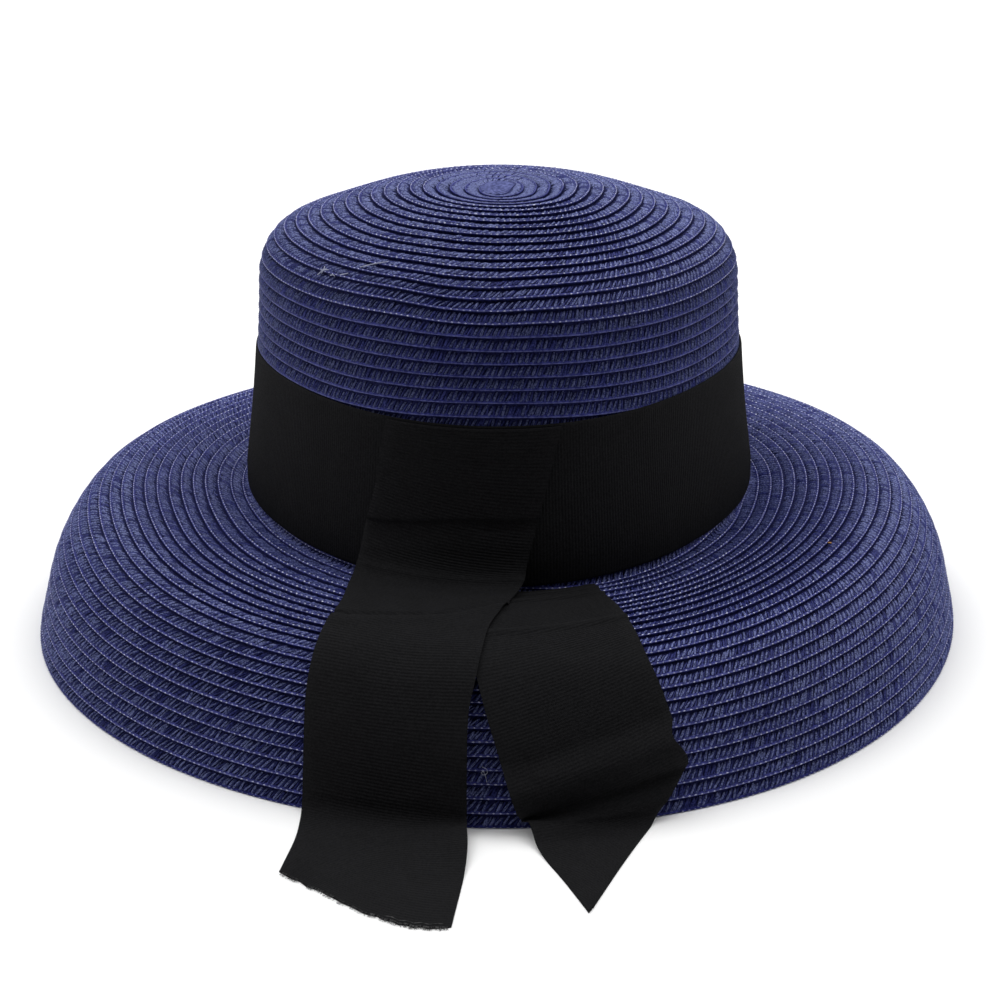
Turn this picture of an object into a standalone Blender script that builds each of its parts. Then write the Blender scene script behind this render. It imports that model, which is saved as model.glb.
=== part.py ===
# Sun hat of sewn straw braid: a crown, a brim, a ribbon band and two loose ribbon tails.
# Metres, +Z up. The brim's edge and the tails' ends lie on Z = 0, and the tails point towards -Y.

import math

import bmesh
import bpy
import numpy as np

# Head line, where crown and brim meet: half its width, and how much further it reaches along Y
HEAD_HALF_WIDTH = 0.0875
HEAD_OVAL = 0.0067

# Crown: its height over the head line, how much its top falls to the back, how far out its
# innermost rows of braid have taken up the head line's oval
CROWN_HEIGHT = 0.1129
CROWN_LEAN = 0.0706
EYE_RADIUS = 0.0120

# Brim: the head line's height, the reach to each side, how much further it reaches along Y
BRIM_HEIGHT = 0.0478
BRIM_REACH = 0.0787
EDGE_OVAL = 0.0091
NECK_HEIGHT = 0.0042

# Straw braid
STRAW_THICKNESS = 0.0020
BRAID_PITCH = 0.0045
BRAID_RELIEF = 0.0006
RIDGE_SHARE = 0.80

# Ribbon
RIBBON_WIDTH = 0.0520
RIBBON_THICKNESS = 0.0010
BAND_FOOT = 0.0010
LEFT_TAIL_RUN = 0.2236
RIGHT_TAIL_RUN = 0.2150
LEFT_END_BOW = 0.0070
FOLD_RUN = 0.0120
FLOOR_RUN = 0.1000

# Gap between neighbouring pieces, and how far the tails ride above the rows' ridges
CLEARANCE = 0.0003
TAIL_REST = 0.0006

# Facets
SEGMENTS = 32
LONG_STEP = 0.0200
BEND_STEP = math.radians(15.0)
SECTION_SAMPLES = 1200
DRAPE_STEP = 0.0005
TAIL_COLUMNS = 7
TAIL_ROW_STEPS = 2
BOWED_ROWS = 4

# Crown from its middle to its foot: share of the line's length, fall in degrees
CROWN_FALLS = (
    (0.00, 0.0),
    (0.15, 5.6),
    (0.30, 22.3),
    (0.41, 24.1),
    (0.50, 68.4),
    (0.56, 89.0),
    (0.64, 87.6),
    (0.96, 83.0),
    (0.98, 90.0),
    (1.00, 90.0),
)

# Brim from its neck to its edge: share of the line's length, fall in degrees
BRIM_FALLS = (
    (0.00, 90.0),
    (0.04, 90.0),
    (0.06, -11.6),
    (0.24, -4.9),
    (0.44, 12.0),
    (0.56, 54.0),
    (0.66, 64.4),
    (0.81, 78.6),
    (0.97, 77.2),
    (0.98, 90.0),
    (1.00, 90.0),
)
FOOT_ROW = 2

# Soft waves of the head line and of the brim's edge: waves around, depth as a share of the head's
# half width or of the brim's reach, turn of a crest in degrees
HEAD_WAVES = (
    (2, 0.018, 0.0),
    (3, 0.047, -90.0),
)
BRIM_WAVES = (
    (1, 0.025, 0.0),
    (2, 0.044, 60.0),
    (3, 0.031, 52.0),
)

# Dents in the crown: turn in degrees, share of the crown's line, half turn in degrees,
# half share, depth as a share of the crown's height
CROWN_DENTS = (
    (-101.0, 0.50, 34.0, 0.12, 0.014),
)

# Left tail, from the band's top edge to its cut end. Runs are shares of LEFT_TAIL_RUN down the hat's
# side, sides are shares of RIBBON_WIDTH from the middle plane, lifts shares of RIBBON_THICKNESS.
# Left run, left side, left lift, right run, right side, right lift
LEFT_TAIL_ROWS = (
    (0.003, -0.71, 0.0, 0.003, 0.39, 0.0),
    (0.052, -0.76, 0.0, 0.069, 0.32, 0.0),
    (0.108, -0.80, 0.0, 0.141, 0.24, 0.0),
    (0.168, -0.87, 0.5, 0.195, 0.18, 0.9),
    (0.217, -0.91, 1.5, 0.243, 0.15, 1.8),
    (0.286, -0.95, 1.6, 0.301, 0.07, 1.7),
    (0.370, -0.99, 1.5, 0.391, -0.05, 1.6),
    (0.451, -1.09, 1.4, 0.460, -0.10, 1.6),
    (0.505, -1.15, 1.0, 0.509, -0.14, 1.5),
    (0.555, -1.18, 0.4, 0.555, -0.18, 0.6),
    (0.622, -1.19, 0.0, 0.632, -0.19, 0.2),
    (0.711, -1.20, 0.0, 0.726, -0.19, 0.0),
    (0.798, -1.22, 0.0, 0.815, -0.19, 0.0),
    (0.904, -1.26, 0.0, 1.000, -0.27, 0.0),
)

# Right tail, from the band's foot to the tip of its slanted end, with the same columns over
# RIGHT_TAIL_RUN.
RIGHT_TAIL_ROWS = (
    (0.252, -0.44, 0.0, 0.252, 0.61, 0.0),
    (0.347, -0.35, 0.0, 0.309, 0.67, 0.0),
    (0.424, -0.26, 0.0, 0.369, 0.75, 0.0),
    (0.500, -0.16, 0.0, 0.432, 0.82, 0.0),
    (0.573, -0.08, 0.0, 0.495, 0.89, 0.0),
    (0.626, -0.01, 0.0, 0.552, 0.98, 0.0),
    (0.688, 0.07, 0.0, 0.611, 1.06, 0.0),
    (0.751, 0.16, 0.0, 0.668, 1.12, 0.0),
    (0.819, 0.25, 0.0, 0.745, 0.92, 0.0),
    (0.905, 0.38, 0.0, 0.848, 0.73, 0.0),
    (1.000, 0.51, 0.0, 0.984, 0.54, 0.0),
)

# Colour, roughness
NAVY_STRAW = ((0.030, 0.031, 0.120, 1.0), 0.55)
BLACK_RIBBON = ((0.006, 0.006, 0.008, 1.0), 0.80)

TURNS = [math.tau * step / SEGMENTS for step in range(SEGMENTS)]


def clear_scene():
    for item in list(bpy.data.objects):
        bpy.data.objects.remove(item, do_unlink=True)


def make_material(name, finish):
    colour, roughness = finish
    material = bpy.data.materials.new(name)
    material.use_nodes = True
    shader = material.node_tree.nodes["Principled BSDF"]
    shader.inputs["Base Color"].default_value = colour
    shader.inputs["Roughness"].default_value = roughness
    shader.inputs["Metallic"].default_value = 0.0
    return material


def mix(first, second, share):
    return first + (second - first) * share


def running_sum(values):
    """The integral of evenly spaced samples, starting at 0."""
    halves = (values[1:] + values[:-1]) / 2
    return np.concatenate([[0.0], np.cumsum(halves)])


class Section:
    """A line down the side of the hat, with its distance out and its height at each length along it."""

    def __init__(self, out, height):
        self.out = np.array(out)
        self.height = np.array(height)
        steps = np.hypot(np.diff(self.out), np.diff(self.height))
        self.along = np.concatenate([[0.0], np.cumsum(steps)])
        self.length = self.along[-1]
        across = np.gradient(self.out, self.along)
        rise = np.gradient(self.height, self.along)
        size = np.hypot(across, rise)
        self.normal_out = -rise / size
        self.normal_up = across / size

    def at(self, along, lift=0.0):
        """Distance out and height at a length along the line, lifted off it to the outer side."""
        out = np.interp(along, self.along, self.out)
        height = np.interp(along, self.along, self.height)
        out += lift * np.interp(along, self.along, self.normal_out)
        height += lift * np.interp(along, self.along, self.normal_up)
        return out, height

    def along_at_height(self, height):
        """The length at which a line that only falls reaches a height."""
        return np.interp(-height, -self.height, self.along)


def section_from_falls(falls, out_ends, height_ends):
    """A section whose slope follows a table of falls, fitted between two distances and two heights."""
    shares = np.linspace(0.0, 1.0, SECTION_SAMPLES)
    angles = np.radians(np.interp(shares, [row[0] for row in falls], [row[1] for row in falls]))
    out = running_sum(np.cos(angles))
    down = running_sum(np.sin(angles))
    out = mix(out_ends[0], out_ends[1], out / out[-1])
    height = mix(height_ends[0], height_ends[1], down / down[-1])
    return Section(out, height)


def crown_section():
    return section_from_falls(
        CROWN_FALLS,
        (0.0, HEAD_HALF_WIDTH),
        (BRIM_HEIGHT + CROWN_HEIGHT, BRIM_HEIGHT + NECK_HEIGHT + CLEARANCE),
    )


def brim_section():
    return section_from_falls(
        BRIM_FALLS,
        (HEAD_HALF_WIDTH, HEAD_HALF_WIDTH + BRIM_REACH),
        (BRIM_HEIGHT + NECK_HEIGHT, 0.0),
    )


BRIM = brim_section()


def brim_share(out):
    """0 at the head line, 1 at the brim's edge and beyond."""
    foot = BRIM.length * BRIM_FALLS[FOOT_ROW][0]
    beyond = BRIM.along > foot
    return np.interp(out, BRIM.out[beyond], (BRIM.along[beyond] - foot) / (BRIM.length - foot))


def wave(waves, size, turn):
    """How far a table of soft waves reaches out at a turn."""
    return sum(share * size * math.cos(count * (turn - math.radians(crest))) for count, share, crest in waves)


def place(out, height, turn):
    """A point of the hat: a distance out on the X axis, carried round the plan by a turn."""
    to_edge = brim_share(out)
    to_head = min(1.0, out / HEAD_HALF_WIDTH) ** 2 * (1.0 - to_edge)
    oval = mix(HEAD_OVAL * min(1.0, out / EYE_RADIUS), EDGE_OVAL, to_edge)
    push = wave(HEAD_WAVES, HEAD_HALF_WIDTH, turn) * to_head
    push += wave(BRIM_WAVES, BRIM_REACH, turn) * to_edge ** 2
    x = (out + push) * math.cos(turn)
    y = (out + oval + push) * math.sin(turn)
    over_head = max(0.0, height - BRIM_HEIGHT) / CROWN_HEIGHT
    return (x, y, height - y * CROWN_LEAN * over_head)


def dent(share, turn):
    """How deep the crown's dents are at a share of its line and a turn."""
    depth = 0.0
    for centre, middle, half_turn, half_share, depth_share in CROWN_DENTS:
        away = math.remainder(turn - math.radians(centre), math.tau) / math.radians(half_turn)
        off = (share - middle) / half_share
        if abs(away) < 1.0 and abs(off) < 1.0:
            fade = math.cos(math.pi / 2 * away) * math.cos(math.pi / 2 * off)
            depth += depth_share * CROWN_HEIGHT * fade ** 2
    return depth


def crown_ring(section, along, lift):
    share = along / section.length
    return [place(*section.at(along, lift - dent(share, turn)), turn) for turn in TURNS]


def plain_ring(section, along, lift):
    return [place(*section.at(along, lift), turn) for turn in TURNS]


def braid_stations(start, end):
    """A groove and a ridge for every row of braid between two lengths: length along, lift."""
    rows = round((end - start) / BRAID_PITCH)
    pitch = (end - start) / rows
    stations = []
    for row in range(rows):
        stations.append((start + row * pitch, -BRAID_RELIEF))
        stations.append((start + (row + RIDGE_SHARE) * pitch, 0.0))
    return stations


def smooth_stations(section, start, end, lift):
    """Rings for a plain stretch, closer together where the section bends: length along, lift."""
    inside = (section.along > start) & (section.along < end)
    along = np.concatenate([[start], section.along[inside], [end]])
    facing = np.unwrap(np.arctan2(
        np.interp(along, section.along, section.normal_up),
        np.interp(along, section.along, section.normal_out),
    ))
    effort = np.cumsum(np.diff(along) / LONG_STEP + np.abs(np.diff(facing)) / BEND_STEP)
    effort = np.concatenate([[0.0], effort])
    count = max(1, math.ceil(effort[-1]))
    lengths = np.interp(np.linspace(0.0, effort[-1], count + 1), effort, along)
    return [(length, lift) for length in lengths]


def join_rings(mesh, first, second):
    """Faces between two rings of vertices, either of which may be a single vertex."""
    count = max(len(first), len(second))
    for step in range(count):
        after = (step + 1) % count
        if len(first) == 1:
            mesh.faces.new((first[0], second[step], second[after]))
        elif len(second) == 1:
            mesh.faces.new((first[step], second[0], first[after]))
        else:
            mesh.faces.new((first[step], second[step], second[after], first[after]))


def ring_solid(name, rings, closed, material):
    """A solid skinned over rings of points, which close on themselves or end in single points."""
    mesh = bmesh.new()
    loops = [[mesh.verts.new(point) for point in ring] for ring in rings]
    for first, second in zip(loops, loops[1:]):
        join_rings(mesh, first, second)
    if closed:
        join_rings(mesh, loops[-1], loops[0])
    return finish_object(name, mesh, material)


def finish_object(name, mesh, material):
    bmesh.ops.recalc_face_normals(mesh, faces=mesh.faces)
    data = bpy.data.meshes.new(name)
    mesh.to_mesh(data)
    mesh.free()
    data.shade_smooth()
    data.set_sharp_from_angle(angle=math.radians(40.0))
    data.materials.append(material)
    item = bpy.data.objects.new(name, data)
    bpy.context.scene.collection.objects.link(item)
    return item


def build_crown(crown, material):
    """The crown's wall, in rows of braid down to the band's top and plain under the band."""
    hidden = crown.along_at_height(BRIM_HEIGHT + BAND_FOOT + RIBBON_WIDTH)
    outer = braid_stations(BRAID_PITCH / 2, hidden)
    outer += smooth_stations(crown, hidden, crown.length, 0.0)
    inner = smooth_stations(crown, BRAID_PITCH / 2, crown.length, -STRAW_THICKNESS)
    top = crown.height[0]
    rings = [[(0.0, 0.0, top - BRAID_RELIEF)]]
    rings += [crown_ring(crown, along, lift) for along, lift in outer]
    rings += [crown_ring(crown, along, lift) for along, lift in reversed(inner)]
    rings.append([(0.0, 0.0, top - STRAW_THICKNESS)])
    return ring_solid("crown", rings, False, material)


def build_brim(material):
    """The brim's wall, plain at the neck and in rows of braid from its foot to its edge."""
    foot = BRIM.length * BRIM_FALLS[FOOT_ROW][0]
    outer = smooth_stations(BRIM, 0.0, foot, 0.0)
    outer += braid_stations(foot + BRAID_PITCH / 2, BRIM.length)
    outer.append((BRIM.length, -BRAID_RELIEF))
    inner = smooth_stations(BRIM, 0.0, BRIM.length, -STRAW_THICKNESS)
    rings = [plain_ring(BRIM, along, lift) for along, lift in outer + inner[::-1]]
    return ring_solid("brim", rings, True, material)


def band_section(crown):
    """The straw's outer side under the band: the crown's wall from the band's top, then the neck."""
    top = BRIM_HEIGHT + BAND_FOOT + RIBBON_WIDTH
    start = crown.along_at_height(top)
    below = crown.along > start
    out = np.concatenate([[crown.at(start)[0]], crown.out[below], [HEAD_HALF_WIDTH]])
    height = np.concatenate([[top], crown.height[below], [BRIM_HEIGHT + BAND_FOOT]])
    return Section(out, height)


def build_band(wall, material):
    inner = smooth_stations(wall, 0.0, wall.length, CLEARANCE)
    outer = smooth_stations(wall, 0.0, wall.length, CLEARANCE + RIBBON_THICKNESS)
    rings = [plain_ring(wall, along, lift) for along, lift in outer + inner[::-1]]
    return ring_solid("hat_band", rings, True, material)


def drape_section(wall):
    """The line that a ribbon's under side lies on: down the band, over the brim and along the
    surface that the hat stands on, with its two inner corners rounded over FOLD_RUN."""
    band_lift = CLEARANCE + RIBBON_THICKNESS + CLEARANCE
    band_out, band_height = wall.at(wall.along, band_lift)
    over_brim = BRIM.along > BRIM.length * BRIM_FALLS[FOOT_ROW][0]
    brim_out, brim_height = BRIM.at(BRIM.along[over_brim], TAIL_REST)
    clear = brim_out > band_out[-1] + TAIL_REST
    floor_out = brim_out[-1] + np.array([CLEARANCE, FLOOR_RUN])
    floor_height = np.array([0.0, 0.0])
    corner_out = [band_out[-1]]
    corner_height = [brim_height[clear][0]]
    rough = Section(
        np.concatenate([band_out, corner_out, brim_out[clear], floor_out]),
        np.concatenate([band_height, corner_height, brim_height[clear], floor_height]),
    )
    steps = np.arange(0.0, rough.length, DRAPE_STEP)
    return Section(rounded(rough.at(steps)[0]), rounded(rough.at(steps)[1]))


def rounded(values):
    """A moving average over FOLD_RUN that leaves straight stretches and both ends in place."""
    half = round(FOLD_RUN / DRAPE_STEP / 2)
    before = 2 * values[0] - values[half:0:-1]
    after = 2 * values[-1] - values[-2:-half - 2:-1]
    window = np.full(2 * half + 1, 1 / (2 * half + 1))
    return np.convolve(np.concatenate([before, values, after]), window, "valid")


def drape_point(drape, run, side, lift):
    """A point above the drape line at a run down it, a side away from the hat's middle plane."""
    out, height = drape.at(run, lift)
    turn = -math.acos(max(-1.0, min(1.0, side / out)))
    return place(out, height, turn)


def tail_rows(table, run):
    """The table's rows in metres, with TAIL_ROW_STEPS steps between each pair on smooth curves."""
    scale = (run, RIBBON_WIDTH, RIBBON_THICKNESS)
    rows = [[value * scale[column % 3] for column, value in enumerate(row)] for row in table]
    rows = np.array(rows)
    ends = np.vstack([2 * rows[0] - rows[1], rows, 2 * rows[-1] - rows[-2]])
    fine = []
    for index in range(1, len(ends) - 2):
        for step in range(TAIL_ROW_STEPS):
            fine.append(between(ends[index - 1:index + 3], step / TAIL_ROW_STEPS))
    fine.append(rows[-1])
    return fine


def between(four, share):
    """A point between the middle two of four on the smooth curve through them."""
    before, start, end, after = four
    slope_in = (end - before) / 2
    slope_out = (after - start) / 2
    bend = 3 * (end - start) - 2 * slope_in - slope_out
    twist = slope_in + slope_out - 2 * (end - start)
    return start + slope_in * share + bend * share ** 2 + twist * share ** 3


def tail_grid(drape, rows, height, bow):
    """Points across every row of a tail, at a height over the drape line, with a bowed cut end."""
    shares = np.linspace(0.0, 1.0, TAIL_COLUMNS)
    grid = []
    for index, row in enumerate(rows):
        to_end = max(0.0, 1.0 - (len(rows) - 1 - index) / BOWED_ROWS) ** 2
        points = []
        for share in shares:
            along, side, lift = mix(row[:3], row[3:], share)
            along += bow * to_end * 4 * share * (1 - share)
            points.append(drape_point(drape, along, side, height + max(0.0, lift)))
        grid.append(points)
    return grid


def build_tail(name, drape, table, run, bow, material):
    """A ribbon strip laid on the drape line."""
    rows = tail_rows(table, run)
    under = tail_grid(drape, rows, 0.0, bow)
    over = tail_grid(drape, rows, RIBBON_THICKNESS, bow)
    return strip_solid(name, under, over, material)


def strip_solid(name, under, over, material):
    """A closed strip between two grids of points."""
    mesh = bmesh.new()
    low = [[mesh.verts.new(point) for point in row] for row in under]
    high = [[mesh.verts.new(point) for point in row] for row in over]
    loops = [first + second[::-1] for first, second in zip(low, high)]
    for first, second in zip(loops, loops[1:]):
        join_rings(mesh, first, second)
    for low_row, high_row in ((low[0], high[0]), (low[-1], high[-1])):
        for step in range(TAIL_COLUMNS - 1):
            mesh.faces.new((low_row[step], low_row[step + 1], high_row[step + 1], high_row[step]))
    return finish_object(name, mesh, material)


def stand_on_origin(items):
    """Carry all pieces so that the middle of the hat's footprint is the origin."""
    corners = [vertex.co for item in items for vertex in item.data.vertices]
    middle_x = (min(co.x for co in corners) + max(co.x for co in corners)) / 2
    middle_y = (min(co.y for co in corners) + max(co.y for co in corners)) / 2
    root = bpy.data.objects.new("hat_root", None)
    bpy.context.scene.collection.objects.link(root)
    root.location = (-middle_x, -middle_y, 0.0)
    for item in items:
        item.parent = root


def main():
    clear_scene()
    straw = make_material("navy_straw", NAVY_STRAW)
    ribbon = make_material("black_ribbon", BLACK_RIBBON)
    crown = crown_section()
    wall = band_section(crown)
    drape = drape_section(wall)
    stand_on_origin([
        build_crown(crown, straw),
        build_brim(straw),
        build_band(wall, ribbon),
        build_tail("tail_left", drape, LEFT_TAIL_ROWS, LEFT_TAIL_RUN, LEFT_END_BOW, ribbon),
        build_tail("tail_right", drape, RIGHT_TAIL_ROWS, RIGHT_TAIL_RUN, 0.0, ribbon),
    ])


main()
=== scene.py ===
# Sun hat of sewn straw braid with a ribbon band and two loose ribbon tails, on a pale floor.
# Metres, +Z up, in the frame of the solid model: the tails point towards -Y.

import math

import bpy
import numpy as np
from mathutils import Euler, Matrix, Vector


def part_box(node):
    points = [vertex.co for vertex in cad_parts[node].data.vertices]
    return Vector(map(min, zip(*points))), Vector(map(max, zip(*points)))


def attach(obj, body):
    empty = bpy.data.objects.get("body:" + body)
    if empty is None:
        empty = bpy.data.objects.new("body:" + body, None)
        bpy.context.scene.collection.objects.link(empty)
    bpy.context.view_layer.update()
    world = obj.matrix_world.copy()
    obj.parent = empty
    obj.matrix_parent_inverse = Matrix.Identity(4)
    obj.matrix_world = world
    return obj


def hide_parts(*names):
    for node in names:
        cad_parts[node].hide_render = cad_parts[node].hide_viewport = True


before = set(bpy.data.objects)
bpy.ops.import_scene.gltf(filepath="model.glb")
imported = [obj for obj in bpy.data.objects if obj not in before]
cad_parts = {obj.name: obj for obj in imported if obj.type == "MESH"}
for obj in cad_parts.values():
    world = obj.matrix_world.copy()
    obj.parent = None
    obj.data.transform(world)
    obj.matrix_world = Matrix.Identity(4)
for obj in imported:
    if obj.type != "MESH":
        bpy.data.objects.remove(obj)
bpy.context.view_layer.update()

# Sizes of the solid model
HEAD_HALF_WIDTH = 0.0875
HEAD_OVAL = 0.0067
CROWN_HEIGHT = 0.1129
CROWN_LEAN = 0.0706
BRIM_HEIGHT = 0.0478
BRIM_REACH = 0.0787
EDGE_OVAL = 0.0091
NECK_HEIGHT = 0.0042
STRAW_THICKNESS = 0.0020
RIBBON_WIDTH = 0.0520
RIBBON_THICKNESS = 0.0010
BAND_FOOT = 0.0010
LEFT_TAIL_RUN = 0.2236
RIGHT_TAIL_RUN = 0.2150
LEFT_END_BOW = 0.0070
FOLD_RUN = 0.0120
FLOOR_RUN = 0.1000
CLEARANCE = 0.0003
TAIL_REST = 0.0006
SOLID_SEGMENTS = 32

# Share of the line's length, fall in degrees
CROWN_FALLS = (
    (0.00, 0.0), (0.15, 5.6), (0.30, 22.3), (0.41, 24.1), (0.50, 68.4),
    (0.56, 89.0), (0.64, 87.6), (0.96, 83.0), (0.98, 90.0), (1.00, 90.0),
)
BRIM_FALLS = (
    (0.00, 90.0), (0.04, 90.0), (0.06, -11.6), (0.24, -4.9), (0.44, 12.0), (0.56, 54.0),
    (0.66, 64.4), (0.81, 78.6), (0.97, 77.2), (0.98, 90.0), (1.00, 90.0),
)
FOOT_SHARE = 0.06
FALL_STEPS = 1200

# Waves around: count, depth as a share of the head's half width or of the brim's reach, crest in degrees
HEAD_WAVES = ((2, 0.018, 0.0), (3, 0.047, -90.0))
BRIM_WAVES = ((1, 0.025, 0.0), (2, 0.044, 60.0), (3, 0.031, 52.0))

# Turn in degrees, share of the crown's line, half turn in degrees, half share, depth share
CROWN_DENTS = ((-101.0, 0.50, 34.0, 0.12, 0.014),)

# Left run, left side, left lift, right run, right side, right lift
LEFT_TAIL_ROWS = (
    (0.003, -0.71, 0.0, 0.003, 0.39, 0.0),
    (0.052, -0.76, 0.0, 0.069, 0.32, 0.0),
    (0.108, -0.80, 0.0, 0.141, 0.24, 0.0),
    (0.168, -0.87, 0.5, 0.195, 0.18, 0.9),
    (0.217, -0.91, 1.5, 0.243, 0.15, 1.8),
    (0.286, -0.95, 1.6, 0.301, 0.07, 1.7),
    (0.370, -0.99, 1.5, 0.391, -0.05, 1.6),
    (0.451, -1.09, 1.4, 0.460, -0.10, 1.6),
    (0.505, -1.15, 1.0, 0.509, -0.14, 1.5),
    (0.555, -1.18, 0.4, 0.555, -0.18, 0.6),
    (0.622, -1.19, 0.0, 0.632, -0.19, 0.2),
    (0.711, -1.20, 0.0, 0.726, -0.19, 0.0),
    (0.798, -1.22, 0.0, 0.815, -0.19, 0.0),
    (0.904, -1.26, 0.0, 1.000, -0.27, 0.0),
)
RIGHT_TAIL_ROWS = (
    (0.252, -0.44, 0.0, 0.252, 0.61, 0.0),
    (0.347, -0.35, 0.0, 0.309, 0.67, 0.0),
    (0.424, -0.26, 0.0, 0.369, 0.75, 0.0),
    (0.500, -0.16, 0.0, 0.432, 0.82, 0.0),
    (0.573, -0.08, 0.0, 0.495, 0.89, 0.0),
    (0.626, -0.01, 0.0, 0.552, 0.98, 0.0),
    (0.688, 0.07, 0.0, 0.611, 1.06, 0.0),
    (0.751, 0.16, 0.0, 0.668, 1.12, 0.0),
    (0.819, 0.25, 0.0, 0.745, 0.92, 0.0),
    (0.905, 0.38, 0.0, 0.848, 0.73, 0.0),
    (1.000, 0.51, 0.0, 0.984, 0.54, 0.0),
)

# Row, column and move of the tails' numbers, for what shows finer than in the solids
LEFT_NUDGES = ((13, 0, -0.009), (13, 1, -0.03))
RIGHT_NUDGES = ((8, 4, 0.012), (9, 4, 0.016))

# Middle of the crown: how near it the rows stay long from front to back, and the dip's depth and radius
EYE_RAMP = 0.0030
EYE_DIP = 0.0023
EYE_DIP_RADIUS = 0.0360

# Braid: the first row's thread line and the pitch, of the crown's spiral and of the brim's rows, and the
# least width that a row of the brim keeps at its foot
CROWN_FIRST = 0.0044
CROWN_PITCH = 0.0046
BRIM_FIRST = 0.0112
BRIM_LAST_ROW = 23
BRIM_HIDDEN_ROWS = 2
LEAST_ROW = 0.0005

# Length of a mesh step round a row, and the least and most steps that a row gets
ROW_STEP = 0.0026
ROW_STEPS_LEAST, ROW_STEPS_MOST = 64, 280

# Hidden side of the braid: lift, steps round and groove depth, then the groove as share of the pitch and
# of that depth, and where the last row ends
CROWN_INSIDE = (-0.0015, 96, 0.00035)
BRIM_INSIDE = (-STRAW_THICKNESS, 112, 0.0003)
GROOVE = ((0.0, 0.0), (0.14, 1.0), (0.80, 1.0))
INSIDE_EDGE = 0.96

# Millimetres that the thread lines lie further out than even ones: turn in degrees, then a column for each
# place along the crown or row of the brim. The tables are evened out over some degrees each way.
WANDER_BLUR = 10.0
WANDER_GRID = 2.0
CROWN_WANDER_PLACES = (0.006, 0.017, 0.040, 0.058, 0.072, 0.084, 0.100, 0.118)
CROWN_WANDER = (
    (-170, 0.0, 1.2, 0.8, 0.8, 0.8, 0.8, 0.8, 0.8),
    (-150, 0.0, 0.8, 0.5, 0.6, 0.8, 0.4, 0.4, 0.3),
    (-130, 0.0, 0.5, 0.2, 0.3, 0.45, -0.4, -0.4, -0.2),
    (-110, 0.0, 0.2, -0.3, -0.7, -1.0, -2.1, -1.3, -2.0),
    (-97, 0.0, 0.7, 0.5, 0.7, 1.5, 0.8, -0.8, -2.9),
    (-90, 0.0, 1.0, 0.4, -0.1, 0.0, -1.0, -1.5, -3.5),
    (-40, 0.0, 2.5, 2.1, 1.4, 0.9, 0.4, 0.6, 0.8),
    (-10, 0.0, 0.0, 0.0, 0.0, 0.0, 0.0, 0.0, 0.0),
    (90, 0.0, 0.4, 0.4, 0.4, 0.4, 0.4, 0.4, 0.4),
)
BRIM_WANDER_ROWS = (0, 1, 3, 5, 8, 12, 16, 20, 23)
BRIM_WANDER = (
    (-170, -4.4, -4.4, -3.8, -3.9, -4.2, -5.1, -3.5, -1.3, 0.0),
    (-145, -2.0, -1.1, 1.9, 2.4, 1.7, 0.7, -0.6, -0.5, 0.0),
    (-120, -3.0, -0.9, 3.8, 4.4, 4.3, 2.4, 0.2, -0.3, 0.0),
    (-60, 5.4, 7.0, 5.7, 3.4, 2.1, 1.4, 0.1, -0.2, 0.0),
    (-30, 2.9, 3.4, 2.2, 0.3, -1.8, -1.6, -2.0, -1.5, 0.0),
    (-5, -2.8, -2.6, -2.8, -3.1, -3.5, -3.3, -3.1, -2.5, 0.0),
    (90, 0.0, 0.0, 0.0, 0.0, 0.0, 0.0, 0.0, 0.0, 0.0),
)

# A row of braid from its inner edge to its outer edge: share of the pitch, lift in millimetres
ROW_PROFILE = (
    (-0.10, -1.15), (0.12, -1.10), (0.45, -0.95), (0.66, -0.70), (0.76, -0.34), (0.82, -0.16), (0.86, -0.09),
    (0.885, -0.07), (0.925, 0.10), (0.965, -0.01), (0.988, -0.20), (1.0, -0.60), (1.0, -1.20),
)
RIM_PROFILE = (
    (-0.10, -1.15), (0.12, -1.10), (0.45, -0.95), (0.66, -0.70), (0.76, -0.34), (0.82, -0.16), (0.89, -0.02),
    (0.94, 0.0), (0.98, -0.14), (1.0, -0.45), (1.0, -1.0), (1.0, -1.60), (0.985, -1.9), (0.96, -2.0),
)

# Bands between a profile's points: how many at the inner side are dark with painted shade under the strands,
# which are the thread and from which on the gap is, dark with painted shade too
PROFILE_SHADED_BANDS = 4
PROFILE_THREAD_BANDS = (7, 8)
PROFILE_GAP_BAND = 10

# Strand along its length: share of the strand, half width, ridge lift and sides' fall in millimetres
STRAND_SHAPE = (
    (0.00, 0.28, -0.80, 0.26),
    (0.30, 0.41, -0.20, 0.55),
    (0.70, 0.45, 0.04, 0.55),
    (1.00, 0.32, -0.12, 0.10),
)
STRAND_SIDES = (-1.0, 0.0, 1.0)

# The two strands of a pair: middle in millimetres, least and most width as a share of the shape's, raise in
# millimetres, share that has the other's colour
# The second strand's colour is a darker copy of the first's: painted shade, as for a strand turned from the
# light
PAIR = (
    (-0.50, 1.00, 1.34, (-0.06, 0.14), 0.09),
    (0.56, 0.74, 1.00, (-0.30, -0.06), 0.15),
)
PAIR_PITCH = 0.0022
PAIR_LOOSE = 0.10
PAIRS_LEAST = 6

# Chance in a strand: middle in millimetres, slant as a share, ends as shares of the row (in early rows the
# inner end lies at the row's edge)
STRAND_JITTER = 0.08
STRAND_SLANT = 0.0021
SLANT_CHANCE = (0.6, 1.4)
EARLY_ROWS = 2
EARLY_INNER_END = (-0.05, 0.05)
INNER_END = (0.08, 0.25)
OUTER_END = (0.71, 0.88)

# The smooth rows at the crown's middle, the strands of its wall, its first rows without stitches, and how
# far strands go under the band
CALM_ROWS = 5
CALM_SHARE = 0.3
CALM_WIDTH = 1.6
WALL_SLANT = 0.0014
WALL_FALL = 0.75
WALL_OUTER_END = (0.80, 0.93)
BARE_ROWS = 4
UNDER_BAND = 0.004

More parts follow.
